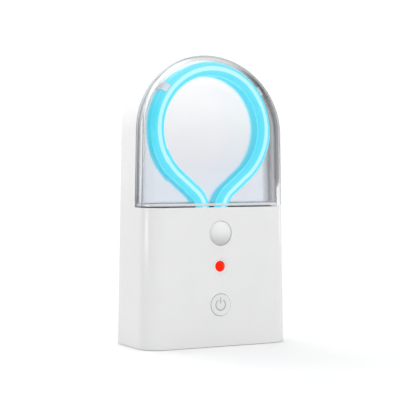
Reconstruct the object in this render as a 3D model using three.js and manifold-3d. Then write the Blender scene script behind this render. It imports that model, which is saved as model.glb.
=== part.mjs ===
// Free-standing battery ultraviolet sanitiser: a white base with a motion sensor, a status
// light and a power button, under an arched clear window with a looped ultraviolet lamp.
// Millimetres. X is the width, -Y is the front and +Z is up. The origin is on the resting
// surface, under the middle of the whole unit with its sensor dome.

import * as THREE from "three";
import { mergeVertices } from "three/addons/utils/BufferGeometryUtils.js";
import Module from "manifold-3d";

const wasm = await Module();
wasm.setup();

// ---------- Driving dimensions ----------

const baseWidth = 76;
const bodyDepth = 33.4;
const bodyHeight = 136;
const sideDraft = THREE.MathUtils.degToRad(1.12);
const frontRadius = 9.3;
const crownRounding = 5.5;
const crownEase = 1.25;
const backRadius = 2;
const wall = 2;
const gap = 0.3;
const footStand = 0.2;

const windowSeamZ = 65.1;
const windowBackY = -1.6;

const lampDiameter = 6.2;
const lampY = -7.3;
const loopRadius = 28;
const loopCentreZ = 101;
const loopTangentAngle = THREE.MathUtils.degToRad(50);
const legX = 4.75;
const legBendRadius = 12;
const lampEndZ = 60.6;
const clipAngle = THREE.MathUtils.degToRad(37);

const sensorZ = 52.75;
const sensorLensRadius = 5.7;
const sensorRise = 2.5;
const ledZ = 37.4;
const ledRadius = 2.45;
const buttonZ = 19.5;
const buttonRadius = 5.05;

const cellDiameter = 14.2;
const cellLength = 50.5;
const cellCount = 4;

// ---------- Places worked out from them ----------

const frontY = -bodyDepth / 2;
const backY = bodyDepth / 2;
const frontInnerY = frontY + wall;
const backInnerY = backY - wall;
const floorTopZ = footStand + wall;
const archCentreZ =
  (bodyHeight - (baseWidth / 2) * Math.cos(sideDraft)) / (1 - Math.sin(sideDraft));
const archRadius = bodyHeight - archCentreZ;
const housingRimY = windowBackY + gap;
const housingTopZ = windowSeamZ - gap;

const chamberFloorTopZ = windowSeamZ + 1.5;
const chamberFloorThickness = 1.2;
const reflectorFrontY = -4;
const reflectorBackY = -1.6;

const boardFrontY = -8.6;
const boardBackY = -7;
const boardTopZ = 53;
const boardBottomZ = 8;
const boardHalfWidth = 29.5;

const cellPitch = cellDiameter + gap;
const cellY = 7.3;
const bayHalfWidth = 29.1;
const bayWall = 1.1;
const bayBottomZ = 4.8;
const bayTopZ = 60.2;
const bayFrontY = -0.1;
const doorRebate = 0.6;

const smooth = 20;
const coarse = 12;
const archSegments = 14;

// ---------- Solids ----------

function cleanTriangles(index) {
  const kept = [];
  for (let i = 0; i < index.length; i += 3) {
    const [a, b, c] = [index[i], index[i + 1], index[i + 2]];
    if (a !== b && b !== c && c !== a) kept.push(a, b, c);
  }
  return kept;
}

function signedVolume(points, triangles) {
  const corner = (i) => new THREE.Vector3().fromArray(points, 3 * i);
  let sum = 0;
  for (let i = 0; i < triangles.length; i += 3) {
    const [a, b, c] = triangles.slice(i, i + 3).map(corner);
    sum += a.dot(b.cross(c)) / 6;
  }
  return sum;
}

// A closed three.js geometry as a solid, with its faces turned outward.
function solid(geometry) {
  geometry.deleteAttribute("normal");
  geometry.deleteAttribute("uv");
  const merged = mergeVertices(geometry, 1e-4);
  const points = merged.attributes.position.array;
  const triangles = cleanTriangles(Array.from(merged.index.array));
  if (signedVolume(points, triangles) < 0) triangles.reverse();
  return new wasm.Manifold(
    new wasm.Mesh({
      numProp: 3,
      vertProperties: Float32Array.from(points),
      triVerts: Uint32Array.from(triangles),
    }),
  );
}

function joined(...solids) {
  return solids.reduce((whole, piece) => whole.add(piece));
}

function cut(whole, ...tools) {
  return tools.reduce((rest, tool) => rest.subtract(tool), whole);
}

function block(x0, x1, y0, y1, z0, z1) {
  const geometry = new THREE.BoxGeometry(x1 - x0, y1 - y0, z1 - z0);
  return solid(geometry.translate((x0 + x1) / 2, (y0 + y1) / 2, (z0 + z1) / 2));
}

function rodY(x, z, radius, y0, y1, segments = coarse) {
  const geometry = new THREE.CylinderGeometry(radius, radius, y1 - y0, segments);
  return solid(geometry.translate(x, (y0 + y1) / 2, z));
}

function rodZ(x, y, radius, z0, z1, segments = coarse) {
  const geometry = new THREE.CylinderGeometry(radius, radius, z1 - z0, segments);
  return solid(geometry.rotateX(Math.PI / 2).translate(x, y, (z0 + z1) / 2));
}

// Turned pieces: the profile is a list of [radius, place along the axis].
function turnedY(profile, x, z, segments = smooth) {
  const points = profile.map(([radius, along]) => new THREE.Vector2(radius, along));
  return solid(new THREE.LatheGeometry(points, segments).translate(x, 0, z));
}

function turnedZ(profile, x, y, segments = smooth) {
  const points = profile.map(([radius, along]) => new THREE.Vector2(radius, along));
  const geometry = new THREE.LatheGeometry(points, segments).rotateX(Math.PI / 2);
  return solid(geometry.translate(x, y, 0));
}

// A spherical cap's profile from its rim at y = rimY to its top at y = topY, on the axis.
function capProfile(rimRadius, rimY, topY, steps) {
  const rise = Math.abs(topY - rimY);
  const radius = (rimRadius ** 2 + rise ** 2) / (2 * rise);
  const rimAngle = Math.asin(Math.min(1, rimRadius / radius));
  const towards = Math.sign(topY - rimY);
  const points = [];
  for (let i = 0; i <= steps; i += 1) {
    const angle = rimAngle * (1 - i / steps);
    points.push([radius * Math.sin(angle), topY - towards * radius * (1 - Math.cos(angle))]);
  }
  points[steps][0] = 0;
  return points;
}

function tube(path, radius, sides, steps) {
  const section = new THREE.Shape();
  for (let i = 0; i < sides; i += 1) {
    const angle = (2 * Math.PI * i) / sides;
    const corner = [radius * Math.cos(angle), radius * Math.sin(angle)];
    if (i === 0) section.moveTo(...corner);
    else section.lineTo(...corner);
  }
  section.closePath();
  return solid(new THREE.ExtrudeGeometry(section, { steps, extrudePath: path }));
}

// The body's front outline, offset inward: two leaning sides that run into a half circle.
// It starts below the resting surface, so that every body piece can be trimmed level.
function archOutline(inset) {
  const lowZ = -2 * frontRadius;
  const lowHalf = baseWidth / 2 - Math.tan(sideDraft) * lowZ - inset / Math.cos(sideDraft);
  const shape = new THREE.Shape();
  shape.moveTo(-lowHalf, lowZ);
  shape.lineTo(lowHalf, lowZ);
  shape.absarc(0, archCentreZ, archRadius - inset, sideDraft, Math.PI - sideDraft, false);
  shape.closePath();
  return shape;
}

// The outline run from y0 to y1, with both ends' edges rounded. With a crown, the rounding of
// the front edge grows by that much from the sides to the top of the arch, gently at first.
function archRun(inset, y0, y1, edgeRadius, crown = 0) {
  const geometry = new THREE.ExtrudeGeometry(archOutline(inset), {
    depth: y1 - y0 - 2 * edgeRadius,
    curveSegments: archSegments,
    bevelEnabled: edgeRadius > 0,
    bevelSize: edgeRadius,
    bevelOffset: -edgeRadius,
    bevelThickness: edgeRadius,
    bevelSegments: edgeRadius > 3 ? 6 : 3,
  });
  geometry.rotateX(Math.PI / 2).translate(0, y1 - edgeRadius, 0);
  const places = geometry.attributes.position;
  for (let i = 0; crown > 0 && i < places.count; i += 1) {
    const fromFront = places.getY(i) - y0;
    const x = places.getX(i);
    const rise = places.getZ(i) - archCentreZ;
    const reach = Math.hypot(x, rise);
    if (rise > 0 && fromFront < edgeRadius + 0.01) {
      const growth = (crown * (rise / reach) ** crownEase) / edgeRadius;
      const away = Math.max(edgeRadius - fromFront, 0);
      const inward = edgeRadius - Math.sqrt(Math.max(edgeRadius ** 2 - away ** 2, 0));
      const pull = 1 - (growth * inward) / reach;
      const y = places.getY(i) + growth * fromFront;
      places.setXYZ(i, x * pull, y, archCentreZ + rise * pull);
    }
  }
  return solid(geometry);
}

// ---------- Body envelope ----------

const roomy = 200;
const outerBody = archRun(
  0,
  frontY,
  backY + 3 * frontRadius,
  frontRadius,
  crownRounding,
).intersect(archRun(0, frontY - 3 * backRadius, backY, backRadius));
const innerBody = archRun(
  wall,
  frontInnerY,
  backY + 3 * frontRadius,
  frontRadius - wall,
  crownRounding,
);

// The inner envelope less a fitting gap, for pieces that drop into the body.
function insideBody(y0, y1, z0, z1) {
  const fitted = archRun(
    wall + gap,
    frontInnerY + gap,
    backY + 3 * frontRadius,
    frontRadius - wall - gap,
    crownRounding,
  );
  return fitted.intersect(block(-roomy, roomy, y0, y1, z0, z1));
}

const caseScrewX = 32.4;
const upperScrewAngle = THREE.MathUtils.degToRad(58);
const upperScrewReach = archRadius - wall - 3;
const caseScrews = [
  [-caseScrewX, 7],
  [caseScrewX, 7],
  [-caseScrewX, 58],
  [caseScrewX, 58],
  [
    -upperScrewReach * Math.cos(upperScrewAngle),
    archCentreZ + upperScrewReach * Math.sin(upperScrewAngle),
  ],
  [
    upperScrewReach * Math.cos(upperScrewAngle),
    archCentreZ + upperScrewReach * Math.sin(upperScrewAngle),
  ],
];
const bossRadius = 1.9;
const upperBossRadius = 3.4;
const webHalfThickness = 0.8;
const screwRadius = 1;
const screwHoleRadius = screwRadius + gap;
const screwHeadRadius = 1.8;
const bossBackY = backInnerY - gap;
const caseScrewTipY = 6;

const boardScrewX = 25.5;
const boardScrews = [
  [-boardScrewX, 12],
  [boardScrewX, 12],
  [-boardScrewX, 48],
  [boardScrewX, 48],
];

const footRadius = 4;
const footX = 28.5;
const feet = [
  ["front_left", -footX, -9.8],
  ["front_right", footX, -9.8],
  ["back_left", -footX, 9],
  ["back_right", footX, 9],
];

// A lower boss stands on the front wall, and a web ties it to the side wall.
function lowerBoss(x, z) {
  const startY = frontInnerY - gap;
  const [x0, x1] = x < 0 ? [-baseWidth, x] : [x, baseWidth];
  const web = block(x0, x1, startY, bossBackY, z - webHalfThickness, z + webHalfThickness);
  return rodY(x, z, bossRadius, startY, bossBackY).add(web);
}

function housingBosses() {
  const caseBosses = caseScrews.map(([x, z]) =>
    z < windowSeamZ
      ? lowerBoss(x, z)
      : rodY(x, z, upperBossRadius, housingRimY, bossBackY),
  );
  const boardBosses = boardScrews.map(([x, z]) =>
    rodY(x, z, bossRadius, frontInnerY - gap, boardFrontY - gap),
  );
  return joined(...caseBosses, ...boardBosses).intersect(outerBody);
}

function mainHousing() {
  const above = block(-roomy, roomy, -roomy, roomy, footStand, roomy);
  const hollow = innerBody.intersect(
    block(-roomy, roomy, -roomy, roomy, floorTopZ, roomy),
  );
  const windowSpace = block(-roomy, roomy, -roomy, housingRimY, housingTopZ, roomy);
  const shell = cut(outerBody.intersect(above), hollow, windowSpace).add(housingBosses());
  const caseHoles = caseScrews.map(([x, z]) =>
    rodY(x, z, screwHoleRadius, caseScrewTipY - 1, roomy / 4),
  );
  const boardHoles = boardScrews.map(([x, z]) =>
    rodY(x, z, screwHoleRadius, frontInnerY + 0.6, boardFrontY),
  );
  const faceHoles = [
    [sensorZ, sensorLensRadius + gap],
    [ledZ, ledRadius + gap],
    [buttonZ, buttonRadius + gap],
  ].map(([z, radius]) => rodY(0, z, radius, frontY - 1, frontInnerY + 1, smooth));
  const footRecesses = feet.map(([, x, y]) =>
    rodZ(x, y, footRadius + gap, footStand - 1, footStand + 1.2, smooth),
  );
  return cut(shell, ...caseHoles, ...boardHoles, ...faceHoles, ...footRecesses);
}

function clearCover() {
  const windowSpace = block(-roomy, roomy, -roomy, windowBackY, windowSeamZ, roomy);
  return outerBody.subtract(innerBody).intersect(windowSpace);
}

// The back cover is a plate with the battery bay moulded onto its inner face.
function backCover() {
  const plate = archRun(wall + gap, backInnerY, backY, 0).intersect(
    block(-roomy, roomy, -roomy, roomy, floorTopZ + gap, roomy),
  );
  const bayOuter = block(
    -bayHalfWidth - bayWall,
    bayHalfWidth + bayWall,
    bayFrontY - 0.9,
    backInnerY + 0.5,
    bayBottomZ - bayWall,
    bayTopZ + bayWall,
  );
  const bayInner = block(
    -bayHalfWidth,
    bayHalfWidth,
    bayFrontY,
    roomy,
    bayBottomZ,
    bayTopZ,
  );
  const doorSeat = block(
    -bayHalfWidth - doorRebate,
    bayHalfWidth + doorRebate,
    backInnerY,
    roomy,
    bayBottomZ - doorRebate,
    bayTopZ + doorRebate,
  );
  const holes = caseScrews.map(([x, z]) => rodY(x, z, screwHoleRadius, 0, roomy / 4));
  const headSeats = caseScrews.map(([x, z]) =>
    rodY(x, z, screwHeadRadius + gap, backY - 1.3, roomy / 4),
  );
  return cut(joined(plate, bayOuter), bayInner, doorSeat, ...holes, ...headSeats);
}

// A lift-off door with a round finger hollow near its upper edge.
function batteryDoor() {
  const halfWidth = bayHalfWidth + doorRebate - gap;
  const bottomZ = bayBottomZ - doorRebate + gap;
  const topZ = bayTopZ + doorRebate - gap;
  const plate = block(-halfWidth, halfWidth, backInnerY + gap, backY, bottomZ, topZ);
  const notch = turnedY(
    [
      [0, backY - 1.1],
      [4.5, backY - 1.1],
      [6, backY + 1],
      [0, backY + 1],
    ],
    0,
    topZ - 7.5,
  );
  return plate.subtract(notch);
}

// ---------- Lamp chamber ----------

// The lamp's centre line: a leg, an outward bend, a straight run and the loop, then mirrored.
class LampPath extends THREE.Curve {
  constructor() {
    super();
    const turn = loopTangentAngle;
    this.bendStartX = legX + legBendRadius * (1 - Math.cos(turn));
    this.runStartX = loopRadius * Math.cos(turn);
    this.runLength = (this.runStartX - this.bendStartX) / Math.sin(turn);
    this.runLowZ =
      loopCentreZ - loopRadius * Math.sin(turn) - this.runLength * Math.cos(turn);
    this.bendLowZ = this.runLowZ - legBendRadius * Math.sin(turn);
    this.lengths = [
      this.bendLowZ - lampEndZ,
      legBendRadius * turn,
      this.runLength,
      loopRadius * (turn + Math.PI / 2),
    ];
    this.half = this.lengths.reduce((sum, length) => sum + length);
  }

  halfPoint(distance) {
    const [leg, bend, run] = this.lengths;
    if (distance < leg) return [legX, lampEndZ + distance];
    if (distance < leg + bend) {
      const angle = (distance - leg) / legBendRadius;
      return [
        legX + legBendRadius * (1 - Math.cos(angle)),
        this.bendLowZ + legBendRadius * Math.sin(angle),
      ];
    }
    if (distance < leg + bend + run) {
      const along = distance - leg - bend;
      return [
        this.bendStartX + along * Math.sin(loopTangentAngle),
        this.runLowZ + along * Math.cos(loopTangentAngle),
      ];
    }
    const angle = (distance - leg - bend - run) / loopRadius - loopTangentAngle;
    return [
      loopRadius * Math.cos(angle),
      loopCentreZ + loopRadius * Math.sin(angle),
    ];
  }

  getPoint(t, target = new THREE.Vector3()) {
    const distance = 2 * this.half * t;
    const mirrored = distance > this.half;
    const [x, z] = this.halfPoint(mirrored ? 2 * this.half - distance : distance);
    return target.set(mirrored ? -x : x, lampY, z);
  }
}

function uvLamp() {
  return tube(new LampPath(), lampDiameter / 2, 12, 72);
}

// A hook that stands on the reflector beside the tube and curls over its front.
function lampClip(side) {
  const innerRadius = lampDiameter / 2 + gap;
  const outerRadius = innerRadius + 0.8;
  const length = 3.8;
  const [startAngle, endAngle] = [-35, 64].map(THREE.MathUtils.degToRad);
  const hookShape = new THREE.Shape();
  hookShape.absarc(0, 0, outerRadius, startAngle, endAngle, false);
  hookShape.absarc(0, 0, innerRadius, endAngle, startAngle, true);
  hookShape.closePath();
  const hook = solid(
    new THREE.ExtrudeGeometry(hookShape, {
      depth: length,
      curveSegments: 7,
      bevelEnabled: false,
    }),
  );
  const footBack = lampY - reflectorFrontY + gap;
  const foot = block(3, outerRadius, footBack, -1.8, 0, length);
  // The hook is drawn with +X outward from the loop and +Y forward, along its own +Z.
  const outward = new THREE.Vector3(side * Math.cos(clipAngle), 0, Math.sin(clipAngle));
  const forward = new THREE.Vector3(0, -1, 0);
  const along = new THREE.Vector3().crossVectors(outward, forward);
  const place = new THREE.Matrix4().makeBasis(outward, forward, along);
  const centre = new THREE.Vector3(0, lampY, loopCentreZ)
    .addScaledVector(outward, loopRadius)
    .addScaledVector(along, -length / 2);
  place.setPosition(centre);
  return solid(geometryOf(joined(hook, foot)).applyMatrix4(place));
}

function reflectorPanel() {
  return archRun(wall + gap, reflectorFrontY, reflectorBackY, 0).intersect(
    block(-roomy, roomy, -roomy, roomy, chamberFloorTopZ + gap, roomy),
  );
}

function chamberFloor() {
  const plate = insideBody(
    frontInnerY + gap,
    reflectorBackY,
    chamberFloorTopZ - chamberFloorThickness,
    chamberFloorTopZ,
  );
  const holes = [-1, 1].map((side) =>
    rodZ(side * (legX + 0.3), lampY, lampDiameter / 2 + 0.8, 0, roomy / 2, smooth),
  );
  return cut(plate, ...holes);
}

const lampCapRadius = 3.4;
const lampCapLowZ = 54.6;

function lampCap(side) {
  return turnedZ(
    [
      [0, lampCapLowZ],
      [lampCapRadius - 0.6, lampCapLowZ],
      [lampCapRadius, lampCapLowZ + 0.6],
      [lampCapRadius, lampEndZ - gap],
      [0, lampEndZ - gap],
    ],
    side * legX,
    lampY,
    coarse,
  );
}

function lampHolder() {
  const body = block(
    -10.5,
    10.5,
    lampY - 4.9,
    lampY + 4.9,
    lampCapLowZ + 2.4,
    windowSeamZ - 2.6,
  );
  const holes = [-1, 1].map((side) =>
    rodZ(side * legX, lampY, lampCapRadius + gap, 0, roomy / 2),
  );
  return cut(body, ...holes);
}

function lead(points, radius = 0.6, steps = 10) {
  const path = new THREE.CatmullRomCurve3(points.map((p) => new THREE.Vector3(...p)));
  return tube(path, radius, 6, steps);
}

function lampLead(side) {
  return lead([
    [side * legX, lampY + lampCapRadius + gap, lampCapLowZ + 1.2],
    [side * 4.8, -2.8, 54.6],
    [side * 5.4, -2.7, 51.4],
    [side * 6.3, -3.6, 48.2],
    [side * 6.8, boardBackY + gap, 46.6],
  ]);
}

// ---------- Controls on the front ----------

function sensorLens() {
  const rimY = frontY + 0.3;
  const topY = frontY - sensorRise;
  const skin = 0.9;
  const outer = capProfile(sensorLensRadius, rimY, topY, 4);
  const inner = capProfile(sensorLensRadius - skin, rimY, topY + skin, 4).reverse();
  const flangeFrontY = frontInnerY + gap;
  return turnedY(
    [
      ...inner,
      [sensorLensRadius - skin, flangeFrontY + 1],
      [sensorLensRadius + 1, flangeFrontY + 1],
      [sensorLensRadius + 1, flangeFrontY],
      [sensorLensRadius, flangeFrontY],
      ...outer,
      inner[0],
    ],
    0,
    sensorZ,
  );
}

function sensorCan() {
  const frontOfCan = -12.8;
  const can = turnedY(
    [
      [0, boardFrontY - gap],
      [4.9, boardFrontY - gap],
      [4.9, boardFrontY - 1],
      [4.5, boardFrontY - 1],
      [4.5, frontOfCan + 0.4],
      [4.1, frontOfCan],
      [0, frontOfCan],
    ],
    0,
    sensorZ - 3.6,
    coarse,
  );
  const window = block(-2, 2, frontOfCan - 1, frontOfCan + 0.4, sensorZ - 5.1, sensorZ - 2.1);
  return can.subtract(window);
}

function statusLed() {
  const tipY = frontY - 0.5;
  const domeStartY = tipY + ledRadius * 0.9;
  return turnedY(
    [
      [0, boardFrontY - gap],
      [ledRadius + 0.4, boardFrontY - gap],
      [ledRadius + 0.4, boardFrontY - 1.3],
      [ledRadius, boardFrontY - 1.3],
      ...capProfile(ledRadius, domeStartY, tipY, 5),
    ],
    0,
    ledZ,
  );
}

const buttonTravel = 0.5;
const plungerFrontY = -13.1;

function powerButton() {
  const faceY = frontY - 0.2;
  const flangeY = frontInnerY + gap;
  const stemEndY = plungerFrontY - gap;
  return turnedY(
    [
      [0, stemEndY],
      [1.5, stemEndY],
      [1.5, flangeY + 0.8],
      [buttonRadius + 1.1, flangeY + 0.8],
      [buttonRadius + 1.1, flangeY],
      [buttonRadius, flangeY],
      [buttonRadius, faceY + 0.4],
      [buttonRadius - 0.4, faceY],
      [buttonRadius - 0.9, faceY],
      [2.4, faceY + 0.22],
      [0, faceY + 0.3],
    ],
    0,
    buttonZ,
  );
}

const switchFrontY = boardFrontY - gap - 3.2;
const plungerHole = 1.9;

function switchBody() {
  const body = block(-3, 3, switchFrontY, boardFrontY - gap, buttonZ - 3, buttonZ + 3);
  return body.subtract(rodY(0, buttonZ, plungerHole + gap, switchFrontY - 1, -10.4));
}

function switchPlunger() {
  return rodY(0, buttonZ, plungerHole, plungerFrontY, -10.7 - buttonTravel);
}

// ---------- Electronics ----------

function circuitBoard() {
  const board = block(
    -boardHalfWidth,
    boardHalfWidth,
    boardFrontY,
    boardBackY,
    boardBottomZ,
    boardTopZ,
  );
  const holes = boardScrews.map(([x, z]) => rodY(x, z, screwHoleRadius, -20, 0));
  return cut(board, ...holes);
}

function transformer() {
  const z = 33;
  const x = 16;
  const backFace = boardFrontY - gap;
  const core = block(x - 7, x + 7, backFace - 4.6, backFace, z - 6, z + 6);
  const windings = [-1, 1].map((side) =>
    block(x + side * 3.3 - 1.5, x + side * 3.3 + 1.5, -20, backFace - 1, z - 3.6, z + 3.6),
  );
  const bobbin = block(x - 4.8, x + 4.8, backFace - 4, backFace - 0.8, z - 7.6, z + 7.6);
  return joined(cut(core, ...windings), bobbin);
}

function capacitor(index) {
  const x = -13 - index * 8;
  const radius = 2.5;
  const y = boardFrontY - gap - radius;
  return turnedZ(
    [
      [0, 22],
      [radius - 0.3, 22],
      [radius, 22.4],
      [radius, 32.4],
      [radius - 0.3, 32.8],
      [0, 32.8],
    ],
    x,
    y,
    coarse,
  );
}

function controllerChip() {
  return block(-19, -9, boardFrontY - gap - 1.5, boardFrontY - gap, 38, 44);
}

// ---------- Batteries ----------

const contactThickness = 0.5;
const contactClearance = gap;
const cellNubHeight = 1;

const cellX = (index) => (index - (cellCount - 1) / 2) * cellPitch;
const isUpright = (index) => index % 2 === 0;

// The positive end is close to its contact, and the negative end leaves room for a spring.
const positiveRoom = contactClearance + contactThickness + gap;
const bottomContactZ = bayBottomZ + contactClearance;
const topContactZ = bayTopZ - contactClearance - contactThickness;

function cellSpan(index) {
  if (isUpright(index)) {
    const topZ = bayTopZ - positiveRoom;
    return [topZ - cellLength, topZ];
  }
  const bottomZ = bayBottomZ + positiveRoom;
  return [bottomZ, bottomZ + cellLength];
}

function batteryCell(index) {
  const radius = cellDiameter / 2;
  const bodyLength = cellLength - cellNubHeight;
  const [low, high] = cellSpan(index);
  const place = isUpright(index) ? (along) => low + along : (along) => high - along;
  return turnedZ(
    [
      [0, place(0)],
      [radius - 0.6, place(0)],
      [radius, place(0.6)],
      [radius, place(bodyLength - 0.6)],
      [radius - 0.6, place(bodyLength)],
      [2.7, place(bodyLength)],
      [2.7, place(cellLength)],
      [0, place(cellLength)],
    ],
    cellX(index),
    cellY,
    coarse + 4,
  );
}

function contactPlate(firstCell, lastCell, z) {
  const halfWidth = 5.5;
  return block(
    cellX(firstCell) - halfWidth,
    cellX(lastCell) + halfWidth,
    cellY - 5.5,
    cellY + 5.5,
    z,
    z + contactThickness,
  );
}

class SpringPath extends THREE.Curve {
  constructor(x, y, startZ, endZ, turns) {
    super();
    Object.assign(this, { x, y, startZ, endZ, turns });
  }

  getPoint(t, target = new THREE.Vector3()) {
    const radius = THREE.MathUtils.lerp(4.6, 2.4, t);
    const angle = 2 * Math.PI * this.turns * t;
    return target.set(
      this.x + radius * Math.cos(angle),
      this.y + radius * Math.sin(angle),
      THREE.MathUtils.lerp(this.startZ, this.endZ, t),
    );
  }
}

function batterySpring(index) {
  const wireRadius = 0.3;
  const margin = gap + wireRadius;
  const [low, high] = cellSpan(index);
  const [startZ, endZ] = isUpright(index)
    ? [bottomContactZ + contactThickness + margin, low - margin]
    : [topContactZ - margin, high + margin];
  return tube(new SpringPath(cellX(index), cellY, startZ, endZ, 2.5), wireRadius, 5, 30);
}

function batteryLead(side) {
  return lead([
    [side * 24, bayFrontY - 0.9 - gap, 30],
    [side * 23.8, -3.2, 29.6],
    [side * 22.6, -4.6, 28],
    [side * 21.6, -5.6, 26.4],
    [side * 21.4, boardBackY + gap, 26],
  ]);
}

// ---------- Fasteners and feet ----------

// A screw along Y with its head at the back, and a cross recess in the head.
function screw(x, z, headBackY, headHeight, tipY) {
  const headFrontY = headBackY - headHeight;
  const body = turnedY(
    [
      [0, tipY],
      [screwRadius * 0.4, tipY],
      [screwRadius, tipY + 1],
      [screwRadius, headFrontY],
      [screwHeadRadius, headFrontY],
      [screwHeadRadius, headBackY - 0.25],
      [screwHeadRadius - 0.25, headBackY],
      [0, headBackY],
    ],
    x,
    z,
    coarse,
  );
  const slotDepth = headHeight * 0.6;
  const [long, short] = [1.1, 0.28];
  const slots = [
    block(x - long, x + long, headBackY - slotDepth, roomy, z - short, z + short),
    block(x - short, x + short, headBackY - slotDepth, roomy, z - long, z + long),
  ];
  return cut(body, ...slots);
}

function caseScrew([x, z]) {
  return screw(x, z, backY - 0.15, 0.8, caseScrewTipY);
}

function boardScrew([x, z]) {
  return screw(x, z, boardBackY + gap + 1, 1, boardFrontY - 4.2);
}

function foot(x, y) {
  const topZ = footStand + 1.2 - gap;
  return turnedZ(
    [
      [0, 0],
      [footRadius - 0.4, 0],
      [footRadius, 0.4],
      [footRadius, topZ],
      [0, topZ],
    ],
    x,
    y,
  );
}

// ---------- Assembly ----------

function finish(color, roughness, metalness = 0, extra = {}) {
  return new THREE.MeshStandardMaterial({ color, roughness, metalness, ...extra });
}

const whitePlastic = finish(0xf4f4f6, 0.32);
const backPlastic = finish(0xf0f0f2, 0.42);
const clearPlastic = finish(0xe8eef5, 0.06, 0, { transparent: true, opacity: 0.22 });
const satinAluminium = finish(0xeceef1, 0.16, 1);
const lampGlow = finish(0x7fe9fb, 0.25, 0, { emissive: 0x35d6f5, emissiveIntensity: 1 });
const frostedPlastic = finish(0xf2f6f8, 0.3, 0, { transparent: true, opacity: 0.8 });
const ceramic = finish(0xe9e4d8, 0.6);
const lensPlastic = finish(0xf0f0f0, 0.45);
const canMetal = finish(0xbfc3c8, 0.3, 1);
const ledRed = finish(0xff2a08, 0.2, 0, { emissive: 0xff2200, emissiveIntensity: 1 });
const boardGreen = finish(0x1f6b3a, 0.5);
const darkPlastic = finish(0x1c1d20, 0.5);
const ferrite = finish(0x3a3a3d, 0.6);
const cellWrap = finish(0x8d9299, 0.35, 0.6);
const springSteel = finish(0xc9ccd0, 0.28, 1);
const screwSteel = finish(0x9fa3a8, 0.32, 1);
const rubber = finish(0xc9cacc, 0.85);
const redWire = finish(0xb3231b, 0.5);
const blackWire = finish(0x202124, 0.5);
const whiteWire = finish(0xe4e4e2, 0.5);

function geometryOf(shape) {
  const mesh = shape.getMesh();
  const geometry = new THREE.BufferGeometry();
  const positions = new Float32Array(mesh.numVert * 3);
  for (let i = 0; i < mesh.numVert; i += 1) {
    for (let k = 0; k < 3; k += 1) {
      positions[3 * i + k] = mesh.vertProperties[mesh.numProp * i + k];
    }
  }
  geometry.setAttribute("position", new THREE.BufferAttribute(positions, 3));
  geometry.setIndex(Array.from(mesh.triVerts));
  return geometry;
}

// Centred front to back on the whole unit, which the sensor dome makes a little deeper.
const group = new THREE.Group();
group.position.y = sensorRise / 2;

function add(name, shape, material) {
  const geometry = geometryOf(shape);
  geometry.computeVertexNormals();
  const mesh = new THREE.Mesh(geometry, material);
  mesh.name = name;
  group.add(mesh);
}

add("main_housing", mainHousing(), whitePlastic);
add("back_cover", backCover(), backPlastic);
add("battery_door", batteryDoor(), backPlastic);
add("clear_cover", clearCover(), clearPlastic);
add("reflector_panel", reflectorPanel(), satinAluminium);
add("chamber_floor", chamberFloor(), whitePlastic);
add("uv_lamp", uvLamp(), lampGlow);
add("lamp_holder", lampHolder(), ceramic);
for (const [name, side] of [["left", -1], ["right", 1]]) {
  add(`lamp_clip_${name}`, lampClip(side), frostedPlastic);
  add(`lamp_cap_${name}`, lampCap(side), ceramic);
  add(`lamp_lead_${name}`, lampLead(side), whiteWire);
}

add("sensor_lens", sensorLens(), lensPlastic);
add("motion_sensor", sensorCan(), canMetal);
add("status_led", statusLed(), ledRed);
add("power_button", powerButton(), whitePlastic);
add("switch_body", switchBody(), darkPlastic);
add("switch_plunger", switchPlunger(), darkPlastic);

add("circuit_board", circuitBoard(), boardGreen);
add("inverter_transformer", transformer(), ferrite);
for (let i = 0; i < 2; i += 1) add(`capacitor_${i + 1}`, capacitor(i), darkPlastic);
add("controller_chip", controllerChip(), darkPlastic);

for (let i = 0; i < cellCount; i += 1) {
  add(`battery_cell_${i + 1}`, batteryCell(i), cellWrap);
  add(`battery_spring_${i + 1}`, batterySpring(i), springSteel);
}
const contactRuns = [
  [0, 0, bottomContactZ],
  [1, 2, bottomContactZ],
  [3, 3, bottomContactZ],
  [0, 1, topContactZ],
  [2, 3, topContactZ],
];
contactRuns.forEach(([first, last, z], i) => {
  add(`battery_contact_${i + 1}`, contactPlate(first, last, z), springSteel);
});
add("battery_lead_red", batteryLead(1), redWire);
add("battery_lead_black", batteryLead(-1), blackWire);

caseScrews.forEach((place, i) => add(`case_screw_${i + 1}`, caseScrew(place), screwSteel));
boardScrews.forEach((place, i) => add(`board_screw_${i + 1}`, boardScrew(place), screwSteel));
feet.forEach(([name, x, y]) => add(`foot_${name}`, foot(x, y), rubber));

export default group;
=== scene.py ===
"""Looks for the arched ultraviolet sanitiser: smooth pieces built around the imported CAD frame.

Shapes are worked out in millimetres from the middle of the body, and then moved to the frame.
X is the width, -Y is the front and +Z is up.
"""

import math

import bmesh
import bpy
from mathutils import Matrix, Vector


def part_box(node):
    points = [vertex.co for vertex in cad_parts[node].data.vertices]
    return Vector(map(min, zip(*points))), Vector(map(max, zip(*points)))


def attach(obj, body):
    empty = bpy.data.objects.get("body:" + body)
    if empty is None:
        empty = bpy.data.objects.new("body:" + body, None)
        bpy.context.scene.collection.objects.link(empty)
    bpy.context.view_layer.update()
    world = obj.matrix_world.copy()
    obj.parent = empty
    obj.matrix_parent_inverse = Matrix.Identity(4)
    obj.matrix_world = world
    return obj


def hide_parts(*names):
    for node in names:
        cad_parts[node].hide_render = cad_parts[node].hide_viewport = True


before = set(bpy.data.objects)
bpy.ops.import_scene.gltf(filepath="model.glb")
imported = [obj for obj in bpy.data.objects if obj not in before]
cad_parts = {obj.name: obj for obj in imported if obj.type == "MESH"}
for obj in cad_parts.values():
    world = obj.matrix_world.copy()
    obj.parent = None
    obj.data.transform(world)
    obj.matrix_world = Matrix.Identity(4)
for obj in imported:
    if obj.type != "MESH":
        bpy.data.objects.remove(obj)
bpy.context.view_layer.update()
scene = bpy.context.scene

# ---------- Dimensions of the part, in millimetres ----------

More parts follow.
